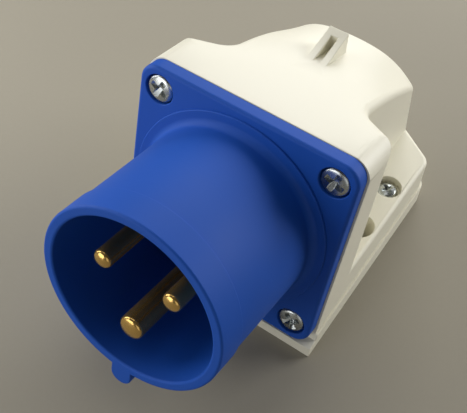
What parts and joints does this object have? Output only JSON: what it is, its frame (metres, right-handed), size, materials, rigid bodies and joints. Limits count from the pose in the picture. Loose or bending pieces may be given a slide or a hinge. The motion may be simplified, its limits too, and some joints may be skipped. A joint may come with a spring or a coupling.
{
  "type": "wall-mounted appliance inlet",
  "caption": "Round-pin appliance inlet with a sloping square flange, an open collar with a key rib and brass pins, on a two-part box for wall fixing.",
  "frame": {"origin": "on the wall face, midway between the two fixing holes", "axes": "X across the part through both fixing holes, +Y towards the cable end, +Z out from the wall"},
  "size_m": [0.0776, 0.1397, 0.0844],
  "materials": {
    "cream_plastic": "fine moulded satin",
    "blue_plastic": "moulded, semi-gloss",
    "dark_insulator": "moulded, matt",
    "brass": "turned",
    "zinc_steel": "zinc plated",
    "seal_rubber": "moulded",
    "grommet_rubber": "moulded"
  },
  "bodies": {
    "root": {"base_plate": "cream_plastic", "hood": "cream_plastic", "inlet_body": "blue_plastic", "contact_carrier": "dark_insulator", "pin_retainer": "dark_insulator", "line_pin": "brass", "neutral_pin": "brass", "earth_pin": "brass", "flange_screws": "zinc_steel", "hood_screws": "zinc_steel", "carrier_screws": "zinc_steel", "terminal_screws": "zinc_steel", "flange_gasket": "seal_rubber", "hood_seal": "seal_rubber", "entry_grommet": "grommet_rubber"}
  },
  "joints": []
}
